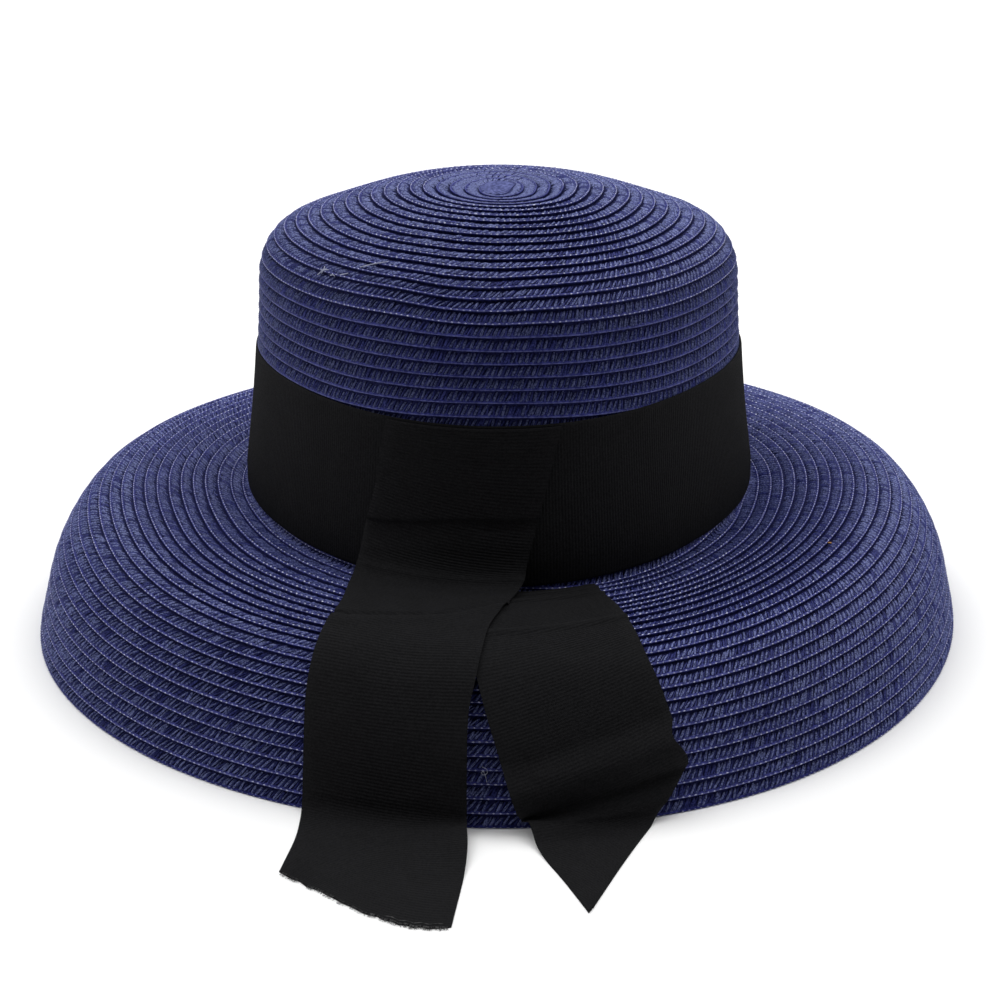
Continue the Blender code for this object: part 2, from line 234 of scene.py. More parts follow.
# Stitch: half its length, its line as a share of the row, its ridge, and its corners as share of the row
# from that line, lift and half lengths along
STITCH_HALF = (0.00042, 0.00066)
STITCH_LINE = (0.915, 0.940)
STITCH_RIDGE = (0.00022, 0.00038)
STITCH_CORNERS = ((0.0, 0.00004, -1.0), (-0.065, 0.00002, 0.0), (0.0, 0.00004, 1.0), (0.050, -0.00010, 0.0))
STITCH_CELL = np.array([[0, 1, 4], [1, 2, 4], [2, 3, 4], [3, 0, 4]])

# Where the brim's strands are split into three pieces, in rows from its first hidden one
BRIM_SPLITS = (12, 19)

# Patch at the crown's middle: turn in degrees and millimetres out, the cut that closes it on the right, its
# rings as share of the outline and lift, and the thread along the cut
EYE_OUTLINE = (
    (0, 7.3), (29, 7.3), (90, 4.5), (135, 5.5), (180, 6.5), (225, 5.6), (270, 3.9), (310, 4.8), (360, 7.3),
)
EYE_CUT = 4.75
EYE_CUT_SLOPE = 0.2
EYE_CUT_BEND = 6.7
EYE_FACING_LEAST = 0.1
EYE_STEPS = 48
EYE_RINGS = ((1.0, -0.0012), (1.0, 0.0), (0.93, 0.00022), (0.5, 0.0002))
EYE_THREAD_STEPS = 8
EYE_THREAD_LIFT = 0.0001
EYE_THREAD_RADIUS = 0.00018

# Ribbons: ribs and the mesh steps for each, and the fall of the very edge
RIB_PITCH = 0.00112
RIB_STEPS = 4
RIB_FULLNESS = 0.7
EDGE_FALL = 0.0002

# Band: shares of its width, selvedge as a share, rib depth there and between, ripples as depth, count, start
BAND_LIFT = 0.00015
BAND_THICKNESS = 0.00035
BAND_SHARES = (0.0, 0.012, 0.03, 0.15, 0.32, 0.5, 0.68, 0.85, 0.97, 0.988, 1.0)
BAND_SELVEDGE = 0.02
BAND_EDGE_RIB, BAND_RIB = 0.00006, 0.00014
BAND_RIPPLES = ((0.00012, 7.0, 0.6), (0.00008, 12.0, 0.0))

# Tails: grid, ribs, lowest lift, the short cut over the corner, the bow and the raggedness of the cut ends
TABLE_STEPS = 40
TAIL_COLUMNS = 25
TAIL_THICKNESS = 0.00055
TAIL_SELVEDGE = 0.03
TAIL_EDGE_RIB, TAIL_RIB = 0.00008, 0.00022
TAIL_LOWEST = -0.0009
BRIDGE_RUN = 0.0300
BRIDGE_END, BRIDGE_FADE = 0.088, 0.020
BOW_SHARE = 0.17
BOW_LEAST, BOW_SLOPE = 0.1, 1.3
RAGGED_RUN = 0.002
LEFT_RAGGED, RIGHT_RAGGED = 0.0008, 0.0004
LINE_GAP = 0.0005

# Left tail: where it leaves the band, the hug above that line, the step at it and the pocket below it.
# Folds are height, distance from a line and half width; waves are height, place, half run, turns, start.
LEAVE_RUN, LEAVE_SLOPE, LEAVE_LEAST = 0.0348, 0.0090, 0.0298
HUG_DEPTH, HUG_AWAY, HUG_FADE = 0.0008, 0.006, 0.008
LEAVE_STEP, LEAVE_FADE = 0.0007, 0.0006
POCKET_DEPTH, POCKET_MIDDLE, POCKET_HALF = 0.0016, -0.001, 0.017
POCKET_START, POCKET_IN, POCKET_OUT = 0.0004, 0.0012, 0.0016
POCKET_RUN = ((-0.0135, -0.004, 0.004, 0.011), (0.0006, 0.0040, 0.0034, 0.0008))
LEFT_CREASE = ((-0.050, -0.016, 0.0033), (0.0905, 0.0814, 0.0684))
LEFT_FOLDS = ((-0.0009, 0.0, 0.0014), (0.0005, 0.0040, 0.0040))
LEFT_WAVES = ((0.0005, 0.110, 0.016, 9.0, 0.0), (0.0005, 0.185, 0.020, 5.0, 1.0))

# Right tail: two straight creases and a slanted one, the valley, and the notch and point of its right edge
RIGHT_FOLDS = ((0.0006, 0.0582, 0.0018), (0.0007, 0.0650, 0.0020))
RIGHT_SLANT = 0.10
RIGHT_SLANTED_FOLDS = ((0.0008, 0.0915, 0.0028),)
VALLEY = ((0.0068, 0.0316, 0.0567), (0.1569, 0.1502, 0.1451))
VALLEY_FOLDS = ((0.0034, -0.0085, 0.0110), (0.0028, 0.0080, 0.0090), (-0.0008, 0.0, 0.0030))
POINT_REACH, POINT_PLACE, POINT_HALF = 0.0012, 0.1440, 0.0045
NOTCH_DEPTH, NOTCH_PLACE, NOTCH_HALF = 0.0018, 0.1345, 0.0060

# Lift of the tails' inner edges, and where it begins and ends on each
EDGE_LIFT = 0.0038
EDGE_LIFT_IN, EDGE_LIFT_OUT = 0.050, 0.030
LEFT_EDGE_LIFT = (0.115, 0.182)
RIGHT_EDGE_LIFT = (0.110, 0.168)

# Threads of the left tail's cut end, and its hem line
FRINGE_COUNT = 220
FRINGE_SPREAD = (0.02, 0.98)
FRINGE_REACH = 0.0016
FRINGE_LEAN = 0.6
FRINGE_LENGTHS = (0.3, 1.0)
FRINGE_ROOT = -0.25
FRINGE_FALL = 0.0004
FRINGE_LOWEST = 0.00025
FRINGE_RADII = (0.00005, 0.00009)
HEM_MOVE = (0.0, 0.0016, 0.0001)
HEM_RADIUS = 0.00016

# Small things on the straw: along in millimetres and turn in degrees, of each point of a thread
LINT_PATH = (
    (94.6, -91.80), (95.4, -91.30), (96.6, -91.25), (97.2, -91.65),
    (96.6, -91.95), (95.8, -91.70), (97.6, -91.45), (99.4, -91.30),
)
NICK_PATHS = (
    ((79.2, -142.2), (80.8, -141.7), (82.0, -141.9)),
    ((80.7, -143.0), (80.4, -141.6), (80.0, -140.0)),
    ((79.9, -140.9), (81.3, -142.3), (82.9, -143.0)),
    ((81.6, -138.2), (81.0, -137.3), (81.4, -136.4)),
    ((80.4, -134.8), (79.0, -132.4)),
    ((75.6, -129.8), (72.6, -126.2), (70.2, -122.6)),
)
FLECK_SPOT = (46.06, -26.63)
FLECK_HALF = 0.0006
FLECK_SLANT = 4.0
FLECK_LIFT, FLECK_RADIUS = 0.0003, 0.00035

# Materials: the grain's scales, the strands' bump, the broad patches, and where each noise changes over
GRAIN_SCALE, STRAND_GRAIN, STITCH_GRAIN, RIBBON_GRAIN = 900.0, 1700.0, 500.0, 1600.0
STRAND_BUMP = 0.0002
PATCH_SCALE = 110.0
PATCH_SHADE = 0.90
NOISE_DETAIL = 2.0
GRAIN_RANGE = (0.40, 0.60)
PATCH_RANGE = (0.38, 0.60)

# Camera of the photograph, in pixels and degrees, and how the hat stands askew in it
PHOTO_WIDTH = 1000.0
FOCAL_PIXELS = 3440.09
SENSOR_WIDTH = 36.0
CLIP_START = 0.05
CAMERA_EYE = (0.0003, -1.15, 0.4893)
CAMERA_DOWN = 21.2289
ASKEW = (0.2092, 0.1221)

# Floor, and soft lights: name, place, what it faces, size and power
FLOOR_CORNERS = ((-6.0, -0.72, 0.0), (6.0, -0.72, 0.0), (6.0, 8.0, 0.0), (-6.0, 8.0, 0.0))
FLOOR_COLOUR = (0.93, 0.93, 0.93, 1.0)
FLOOR_ROUGHNESS, FLOOR_SPECULAR = 0.9, 0.1
WORLD_STRENGTH = 0.06
LIGHTS = (
    ("ceiling", (0.0, 1.3, 2.0), (0.0, 1.3, 0.0), (4.0, 4.0), 88.0),
    ("roof_left", (-1.7, 0.3, 1.7), (0.0, 0.3, 0.0), (1.8, 4.0), 30.0),
    ("roof_right", (1.7, 0.3, 1.7), (0.0, 0.3, 0.0), (1.8, 4.0), 27.0),
)

RNG = np.random.default_rng(7)


def mix(first, second, share):
    return first + (second - first) * share


def fold(value, middle, half):
    """1 on a line, falling smoothly to 0 at half away from it."""
    return np.cos(math.pi / 2 * np.clip((value - middle) / half, -1.0, 1.0)) ** 2


def step(value, edge, run):
    """0 before an edge, 1 after it."""
    return 0.5 + 0.5 * np.sin(math.pi * np.clip((value - edge) / run, -0.5, 0.5))


def running_sum(values):
    return np.concatenate([[0.0], np.cumsum((values[1:] + values[:-1]) / 2)])


def run_along(points):
    """How far along a path each of its points lies."""
    return np.concatenate([[0.0], np.cumsum(np.linalg.norm(np.diff(points, axis=0), axis=1))])


class Section:
    """A line down the side of the hat."""

    def __init__(self, out, height):
        self.out = np.array(out)
        self.height = np.array(height)
        steps = np.hypot(np.diff(self.out), np.diff(self.height))
        self.along = np.concatenate([[0.0], np.cumsum(steps)])
        self.length = self.along[-1]
        across = np.gradient(self.out, self.along)
        rise = np.gradient(self.height, self.along)
        size = np.hypot(across, rise)
        self.normal_out = -rise / size
        self.normal_up = across / size

    def at(self, along, lift=0.0):
        out = np.interp(along, self.along, self.out)
        height = np.interp(along, self.along, self.height)
        out = out + lift * np.interp(along, self.along, self.normal_out)
        height = height + lift * np.interp(along, self.along, self.normal_up)
        return out, height

    def along_at_height(self, height):
        return np.interp(-height, -self.height, self.along)


def section_from_falls(falls, out_ends, height_ends):
    shares = np.linspace(0.0, 1.0, FALL_STEPS)
    angles = np.radians(np.interp(shares, [row[0] for row in falls], [row[1] for row in falls]))
    out = running_sum(np.cos(angles))
    down = running_sum(np.sin(angles))
    out = mix(out_ends[0], out_ends[1], out / out[-1])
    return Section(out, mix(height_ends[0], height_ends[1], down / down[-1]))


CROWN = section_from_falls(
    CROWN_FALLS,
    (0.0, HEAD_HALF_WIDTH),
    (BRIM_HEIGHT + CROWN_HEIGHT, BRIM_HEIGHT + NECK_HEIGHT + CLEARANCE),
)
BRIM = section_from_falls(
    BRIM_FALLS,
    (HEAD_HALF_WIDTH, HEAD_HALF_WIDTH + BRIM_REACH),
    (BRIM_HEIGHT + NECK_HEIGHT, 0.0),
)
BRIM_FOOT = BRIM.length * FOOT_SHARE


def brim_share(out):
    beyond = BRIM.along > BRIM_FOOT
    return np.interp(out, BRIM.out[beyond], (BRIM.along[beyond] - BRIM_FOOT) / (BRIM.length - BRIM_FOOT))


def wave(waves, size, turn):
    return sum(share * size * np.cos(count * (turn - math.radians(crest))) for count, share, crest in waves)


def place_raw(out, height, turn):
    """Points of the hat, before the whole is carried to its origin."""
    out, height, turn = np.broadcast_arrays(np.asarray(out, float), height, turn)
    to_edge = brim_share(out)
    to_head = np.minimum(1.0, out / HEAD_HALF_WIDTH) ** 2 * (1.0 - to_edge)
    oval = mix(HEAD_OVAL * np.minimum(1.0, out / EYE_RAMP), EDGE_OVAL, to_edge)
    push = wave(HEAD_WAVES, HEAD_HALF_WIDTH, turn) * to_head
    push = push + wave(BRIM_WAVES, BRIM_REACH, turn) * to_edge ** 2
    x = (out + push) * np.cos(turn)
    y = (out + oval + push) * np.sin(turn)
    over_head = np.maximum(0.0, height - BRIM_HEIGHT) / CROWN_HEIGHT
    return np.stack([x, y, height - y * CROWN_LEAN * over_head], -1)


def find_shift():
    """How far the solid model was carried, from the place of the crown's foot."""
    turns = math.tau * np.arange(SOLID_SEGMENTS) / SOLID_SEGMENTS
    ring = place_raw(*CROWN.at(CROWN.length), turns)
    low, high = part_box("crown")
    middle = (ring.min(0) + ring.max(0)) / 2
    return np.array([middle[0] - (low.x + high.x) / 2, middle[1] - (low.y + high.y) / 2, 0.0])


SHIFT = find_shift()


def place(out, height, turn):
    return place_raw(out, height, turn) - SHIFT


def dent(share, turn):
    """How deep the crown's dents are at a share of its line."""
    depth = 0.0
    for centre, middle, half_turn, half_share, depth_share in CROWN_DENTS:
        away = np.remainder(turn - math.radians(centre) + math.pi, math.tau) - math.pi
        away = np.clip(away / math.radians(half_turn), -1.0, 1.0)
        off = np.clip((share - middle) / half_share, -1.0, 1.0)
        hollow = (np.cos(math.pi / 2 * away) * np.cos(math.pi / 2 * off)) ** 2
        depth = depth + depth_share * CROWN_HEIGHT * hollow
    return depth


def dip(along):
    return EYE_DIP * np.cos(math.pi / 2 * np.minimum(1.0, along / EYE_DIP_RADIUS)) ** 2


def on_crown(along, lift, turn):
    return place(*CROWN.at(along, lift - dent(along / CROWN.length, turn) - dip(along)), turn)


def on_brim(along, lift, turn):
    return place(*BRIM.at(along, lift), turn)


def add_mesh(name, points, faces, materials, indices=None, sharp=None):
    """An object from an array of points and an array of faces with three or four corners each."""
    points = np.asarray(points, np.float32).reshape(-1, 3)
    groups = faces if isinstance(faces, list) else [faces]
    groups = [np.asarray(group, np.int32) for group in groups if len(group)]
    loops = np.concatenate([group.ravel() for group in groups])
    totals = np.concatenate([np.full(len(group), group.shape[1], np.int32) for group in groups])
    starts = np.concatenate([[0], np.cumsum(totals)[:-1]]).astype(np.int32)
    data = bpy.data.meshes.new(name)
    data.vertices.add(len(points))
    data.vertices.foreach_set("co", points.ravel())
    data.loops.add(len(loops))
    data.loops.foreach_set("vertex_index", loops)
    data.polygons.add(len(totals))
    data.polygons.foreach_set("loop_start", starts)
    for material in materials:
        data.materials.append(material)
    if indices is not None:
        data.polygons.foreach_set("material_index", np.asarray(indices, np.int32))
    data.update(calc_edges=True)
    data.validate()
    data.shade_smooth()
    if sharp is not None:
        data.set_sharp_from_angle(angle=math.radians(sharp))
    item = bpy.data.objects.new(name, data)
    bpy.context.scene.collection.objects.link(item)
    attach(item, "root")
    return item


def grid_faces(rows, columns, wrap=False):
    """Quads over a grid of points, row by row, closed over its columns if wrap is set."""
    index = np.arange(rows * columns).reshape(rows, columns)
    if wrap:
        index = np.concatenate([index, index[:, :1]], 1)
    return np.stack([index[:-1, :-1], index[:-1, 1:], index[1:, 1:], index[1:, :-1]], -1).reshape(-1, 4)


def repeated(cell, points):
    """The faces of one cell, once for every cell in a run of points."""
    size = cell.max() + 1
    return (cell[None] + size * np.arange(len(points) // size)[:, None, None]).reshape(-1, cell.shape[1])


def join_parts(parts):
    """Several shapes as one: their points, their faces and, if they have them, their marks."""
    points, faces, *marks = zip(*parts)
    starts = np.cumsum([0, *(len(part) for part in points[:-1])])
    faces = [part + start for part, start in zip(faces, starts)]
    return tuple(np.concatenate(group) for group in (points, faces, *marks))


def tube(path, radius):
    """A thin thread along a path, four-sided and closed."""
    ahead = np.gradient(path, axis=0)
    ahead = ahead / np.linalg.norm(ahead, axis=1, keepdims=True)
    across = np.cross(ahead, (0.0, 0.0, 1.0))
    across = across / np.maximum(np.linalg.norm(across, axis=1, keepdims=True), 1e-9)
    up = np.cross(across, ahead)
    angles = math.tau * np.arange(4) / 4
    ring = np.stack([path + radius * (math.cos(a) * across + math.sin(a) * up) for a in angles], 1)
    count = len(path)
    caps = np.array([[3, 2, 1, 0], 4 * (count - 1) + np.arange(4)])
    return ring.reshape(-1, 3), np.concatenate([grid_faces(count, 4, wrap=True), caps])


def add_noise(nodes, links, scale, between, dark, light):
    """A colour that wanders between two over the object, and the noise behind it."""
    where = nodes.new("ShaderNodeTexCoord")
    noise = nodes.new("ShaderNodeTexNoise")
    noise.inputs["Scale"].default_value = scale
    noise.inputs["Detail"].default_value = NOISE_DETAIL
    links.new(where.outputs["Object"], noise.inputs["Vector"])
    ramp = nodes.new("ShaderNodeValToRGB")
    for element, position, colour in zip(ramp.color_ramp.elements, between, (dark, light)):
        element.position = position
        element.color = (*colour, 1.0)
    links.new(noise.outputs["Fac"], ramp.inputs["Fac"])
    return noise.outputs["Fac"], ramp.outputs["Color"]


def cloth_material(name, dark, light, roughness, specular, scale=GRAIN_SCALE, bump=0.0):
    """A matt material with a fine grain of two colours and broad patches a little darker."""
    material = bpy.data.materials.new(name)
    material.use_nodes = True
    nodes, links = material.node_tree.nodes, material.node_tree.links
    shader = nodes["Principled BSDF"]
    shader.inputs["Roughness"].default_value = roughness
    shader.inputs["Specular IOR Level"].default_value = specular
    fine, grain = add_noise(nodes, links, scale, GRAIN_RANGE, dark, light)
    _, broad = add_noise(nodes, links, PATCH_SCALE, PATCH_RANGE, (PATCH_SHADE,) * 3, (1.0, 1.0, 1.0))
    product = nodes.new("ShaderNodeMix")
    product.data_type = "RGBA"
    product.blend_type = "MULTIPLY"
    product.inputs["Factor"].default_value = 1.0
    links.new(grain, product.inputs["A"])
    links.new(broad, product.inputs["B"])
    links.new(product.outputs["Result"], shader.inputs["Base Color"])
    if bump:
        height = nodes.new("ShaderNodeBump")
        height.inputs["Strength"].default_value = 1.0
        height.inputs["Distance"].default_value = bump
        links.new(fine, height.inputs["Height"])
        links.new(height.outputs["Normal"], shader.inputs["Normal"])
    return material


def strand_material(name, dark, light, roughness, specular):
    """A straw of finer grain, for the strands."""
    return cloth_material(name, dark, light, roughness, specular, scale=STRAND_GRAIN, bump=STRAND_BUMP)


# Near-black base of the rows, under the strands and in the gap under each bead: painted shade in those
# recesses
STRAW_GAP_PAINTED_SHADE = cloth_material("straw_gap_painted_shade", (0.0063, 0.0074, 0.0360), (0.0153, 0.0175, 0.0792), 0.70, 0.05)
STRAW_EDGE = cloth_material(
    "straw_edge", (0.0108, 0.0135, 0.0945), (0.0324, 0.0378, 0.2025), 0.50, 0.10, bump=0.0002,
)
STRAW_THREAD = cloth_material("straw_thread", (0.0414, 0.0477, 0.1710), (0.0936, 0.1044, 0.2880), 0.45, 0.15)
STRAW_STRAND = strand_material("straw_strand", (0.0330, 0.0420, 0.1320), (0.1640, 0.1900, 0.4050), 0.42, 0.13)
# Darker copy of the strands' colour: painted shade for the strand of a pair turned from the light
STRAW_DEEP_PAINTED_SHADE = strand_material("straw_deep_painted_shade", (0.0126, 0.0162, 0.0900), (0.0400, 0.0480, 0.1950), 0.45, 0.10)
# Darker copy of the strands' colour: painted shade of the crown's occlusion on the brim's inner rows
STRAW_INNER_PAINTED_SHADE = strand_material("straw_inner_painted_shade", (0.0250, 0.0320, 0.1100), (0.1150, 0.1330, 0.3150), 0.43, 0.11)
# Darker copy of the strands' colour: painted shade on the crown's wall, which gets little light
STRAW_WALL_PAINTED_SHADE = strand_material("straw_wall_painted_shade", (0.0200, 0.0255, 0.0850), (0.0860, 0.1000, 0.2250), 0.45, 0.08)
# The stitches are lighter than the thread: painted glints, on top of the material's real gloss
STRAW_STITCH_PAINTED_GLINT = cloth_material(
    "straw_stitch_painted_glint", (0.200, 0.218, 0.450), (0.460, 0.480, 0.700), 0.28, 0.90, scale=STITCH_GRAIN,
)
STRAW_INSIDE = cloth_material(
    "straw_inside", (0.009, 0.011, 0.072), (0.030, 0.035, 0.180), 0.60, 0.10, bump=0.0004,
)
STRAW_PATCH = cloth_material(
    "straw_patch", (0.028, 0.035, 0.130), (0.112, 0.130, 0.325), 0.50, 0.12, bump=0.0003,
)
RIBBON = cloth_material(
    "ribbon_grosgrain", (0.0048, 0.0048, 0.0056), (0.0088, 0.0088, 0.0098), 0.90, 0.10,
    scale=RIBBON_GRAIN, bump=0.00008,
)
LINT = cloth_material("lint", (0.29, 0.31, 0.42), (0.43, 0.45, 0.58), 0.80, 0.20)
FRAY = cloth_material("ribbon_fray", (0.030, 0.030, 0.032), (0.110, 0.110, 0.112), 0.90, 0.10)
FLECK = cloth_material("fleck", (0.30, 0.14, 0.03), (0.42, 0.20, 0.05), 0.60, 0.30)

BRAID_MATERIALS = [STRAW_GAP_PAINTED_SHADE, STRAW_EDGE, STRAW_THREAD, STRAW_INSIDE]
GAP_SHADE_MARK, EDGE_MARK, THREAD_MARK, INSIDE_MARK = range(len(BRAID_MATERIALS))


class Wander:
    """How much further out than even ones the thread lines lie, by place and by turn."""

    def __init__(self, table, places):
        turns = [row[0] for row in table]
        spread = np.arange(-WANDER_BLUR, WANDER_BLUR + 1.0, WANDER_GRID)
        fine = np.arange(0.0, 360.0 + WANDER_GRID, WANDER_GRID)
        columns = np.array([row[1:] for row in table]).T / 1000.0
        self.values = np.array([
            np.mean([np.interp(fine + away, turns, column, period=360.0) for away in spread], 0)
            for column in columns
        ])
        self.places = np.array(places, float)

    def at(self, spot, turn):
        spot, turn = np.broadcast_arrays(np.asarray(spot, float), turn)
        row = np.interp(spot, self.places, np.arange(len(self.places)))
        column = np.degrees(turn) % 360.0 / WANDER_GRID
        low = np.minimum(row.astype(int), len(self.places) - 2)
        left = column.astype(int)
        first = mix(self.values[low, left], self.values[low, left + 1], column - left)
        second = mix(self.values[low + 1, left], self.values[low + 1, left + 1], column - left)
        return mix(first, second, row - low)


CROWN_LINES = Wander(CROWN_WANDER, CROWN_WANDER_PLACES)
BRIM_LINES = Wander(BRIM_WANDER, BRIM_WANDER_ROWS)
BRIM_PITCH = (BRIM.length - BRIM_FIRST) / BRIM_LAST_ROW


def crown_line(row, turn):
    even = CROWN_FIRST + CROWN_PITCH * (row + turn / math.tau)
    return np.clip(even + CROWN_LINES.at(even, turn), 0.0, CROWN.length)


def brim_line(row, turn):
    line = BRIM_FIRST + BRIM_PITCH * row + BRIM_LINES.at(row, turn)
    return np.maximum(line, LEAST_ROW * (row + BRIM_HIDDEN_ROWS + 1))


class Braid:
    """Rows of sewn braid on a surface. line gives how far along a row's thread line lies at a turn."""

    def __init__(self, place_at, line):
        self.place_at = place_at
        self.line = line

    def points(self, row, share, lift, turn):
        along = mix(self.line(row - 1, turn), self.line(row, turn), share)
        return self.place_at(np.maximum(along, 0.0), lift, turn)

    def run_round(self, row):
        """Turns a degree apart and how far along the row each lies."""
        turn = np.linspace(0.0, math.tau, 361)
        return turn, run_along(self.points(row, 0.5, 0.0, turn))

    def pair_turns(self, row):
        """Turns of the pairs of strands, almost evenly spaced round a row, and the row's length."""
        turn, run = self.run_round(row)
        count = max(PAIRS_LEAST, round(run[-1] / PAIR_PITCH))
        where = (np.arange(count) + 0.5 + RNG.uniform(-PAIR_LOOSE, PAIR_LOOSE, count)) / count * run[-1]
        return np.interp(where, run, turn), run[-1]


CROWN_BRAID = Braid(on_crown, crown_line)
BRIM_BRAID = Braid(on_brim, brim_line)


def braid_rows(braid, rows, spiral, profile):
    """Shingled rows with the profile's section, each closed unless they are one spiral."""
    bands = len(profile) - 1
    parts = []
    for row in rows:
        around = braid.run_round(row)[1][-1]
        steps = round(float(np.clip(around / ROW_STEP, ROW_STEPS_LEAST, ROW_STEPS_MOST)))
        turn = np.linspace(0.0, math.tau, steps + 1)[:steps + (1 if spiral else 0)]
        block = np.array([braid.points(row, share, lift / 1000.0, turn) for share, lift in profile])
        quads = grid_faces(len(profile), len(turn), wrap=not spiral)
        band = np.repeat(np.arange(bands), len(quads) // bands)
        # The inner bands and the gap under the bead take the near-black painted shade
        mark = np.where(band < PROFILE_SHADED_BANDS, GAP_SHADE_MARK, EDGE_MARK)
        if profile is ROW_PROFILE:
            mark[np.isin(band, PROFILE_THREAD_BANDS)] = THREAD_MARK
            mark[band >= PROFILE_GAP_BAND] = GAP_SHADE_MARK
        parts.append((block.reshape(-1, 3), quads, mark))
    return join_parts(parts)


def inner_rows(braid, rows, lift, steps, relief):
    """The hidden side of the braid: a shallow groove in each row."""
    turn = math.tau * np.arange(steps) / steps
    block = []
    for row in rows:
        for share, fall in GROOVE:
            block.append(braid.points(row, share, lift - fall * relief, turn))
    block.append(braid.points(rows[-1], INSIDE_EDGE, lift, turn))
    quads = grid_faces(len(block), steps, wrap=True)
    return np.array(block).reshape(-1, 3), quads, np.full(len(quads), INSIDE_MARK)


def strands(
    braid, rows, calm_rows=-BRIM_HIDDEN_ROWS, slant_by=STRAND_SLANT, fall_by=1.0, outer_end=OUTER_END,
):
    """Slanted strands in pairs across every row, each a low ridge that rises from under the row before.

    Those of the rows before calm_rows are flatter, wider and all of the first material. fall_by is how far
    the ridges' sides fall.
    """
    points, marks = [], []
    for row in rows:
        pair, around = braid.pair_turns(row)
        per_metre = math.tau / around
        count = len(pair)
        calm, widen = (CALM_SHARE, CALM_WIDTH) if row < calm_rows else (1.0, 1.0)
        inner_end = INNER_END if row > EARLY_ROWS else EARLY_INNER_END
        for number, (middle, least, most, raises, other) in enumerate(PAIR):
            centre = pair + (middle + RNG.uniform(-STRAND_JITTER, STRAND_JITTER, count)) / 1000.0 * per_metre
            width = RNG.uniform(least, most, count) * per_metre * widen
            raise_by = RNG.uniform(*raises, count) / 1000.0
            slant = RNG.uniform(*SLANT_CHANCE, count) * slant_by * per_metre
            inner = RNG.uniform(*inner_end, count)
            outer = RNG.uniform(*outer_end, count)
            swapped = RNG.uniform(0.0, 1.0, count) < other * calm
            # Mark 1 is the darker copy, painted shade
            marks.append(np.where(swapped, 1 - number, number) * (calm == 1.0))
            block = []
            for ahead, half, ridge, fall in STRAND_SHAPE:
                share = mix(inner, outer, ahead)
                lift = ridge / 1000.0 + calm * raise_by * (1.0 - ahead ** 3)
                for across in STRAND_SIDES:
                    turn = centre + slant * (0.5 - ahead) + across * half / 1000.0 * width
                    drop = abs(across) * calm * fall_by * fall / 1000.0
                    block.append(braid.points(row, share, lift - drop, turn))
            points.append(np.stack(block, 1).reshape(-1, 3))
    points = np.concatenate(points)
    cell = grid_faces(len(STRAND_SHAPE), len(STRAND_SIDES))
    return points, repeated(cell, points), np.repeat(np.concatenate(marks), len(cell))


def stitches(braid, rows, no_painted_glint_from=math.inf):
    """The thread's visible stitches, one for each pair of strands, a raised lozenge each.

    Those of the rows from the one given last on have the second material: the thread's plain colour, without
    the lighter colour that paints glints on the first.
    """
    points, marks = [], []
    for row in rows:
        turn, around = braid.pair_turns(row)
        per_metre = math.tau / around
        count = len(turn)
        half = RNG.uniform(*STITCH_HALF, count) * per_metre
        line = RNG.uniform(*STITCH_LINE, count)
        ridge = RNG.uniform(*STITCH_RIDGE, count)
        block = [
            braid.points(row, line + away, lift, turn + ahead * half) for away, lift, ahead in STITCH_CORNERS
        ]
        block.append(braid.points(row, line, ridge, turn))
        points.append(np.stack(block, 1).reshape(-1, 3))
        marks.append(np.full(len(STITCH_CELL) * count, int(row >= no_painted_glint_from)))
    points = np.concatenate(points)
    return points, repeated(STITCH_CELL, points), np.concatenate(marks)


def add_straw(name, shape, *materials):
    points, faces, *marks = shape
    item = add_mesh(name, points, faces, materials, *marks)


def eye_patch():
    """The flat start of the braid, closed by a cut on its right, and the thread along the cut."""
    turn = math.tau * np.arange(EYE_STEPS) / EYE_STEPS
    reach = np.interp(np.degrees(turn), [row[0] for row in EYE_OUTLINE], [row[1] for row in EYE_OUTLINE])
    facing = np.cos(turn) - EYE_CUT_SLOPE * np.sin(turn)
    cut = (EYE_CUT + EYE_CUT_SLOPE * EYE_CUT_BEND * np.sin(turn)) / np.maximum(facing, EYE_FACING_LEAST)
    reach = np.where(facing > EYE_FACING_LEAST, np.minimum(reach, cut), reach) / 1000.0
    block = [on_crown(reach * share, lift, turn) for share, lift in EYE_RINGS]
    centre = on_crown(0.0, EYE_RINGS[-1][1], 0.0)
    points = np.concatenate([np.array(block).reshape(-1, 3), centre.reshape(1, 3)])
    inmost = (len(EYE_RINGS) - 1) * EYE_STEPS + np.arange(EYE_STEPS)
    fan = np.stack([inmost, np.roll(inmost, -1), np.full(EYE_STEPS, len(points) - 1)], 1)
    right = np.arange(-EYE_THREAD_STEPS, EYE_THREAD_STEPS)
    rim = on_crown(reach[right], EYE_THREAD_LIFT, turn[right])
    return (points, [grid_faces(len(EYE_RINGS), EYE_STEPS, wrap=True), fan]), tube(rim, EYE_THREAD_RADIUS)


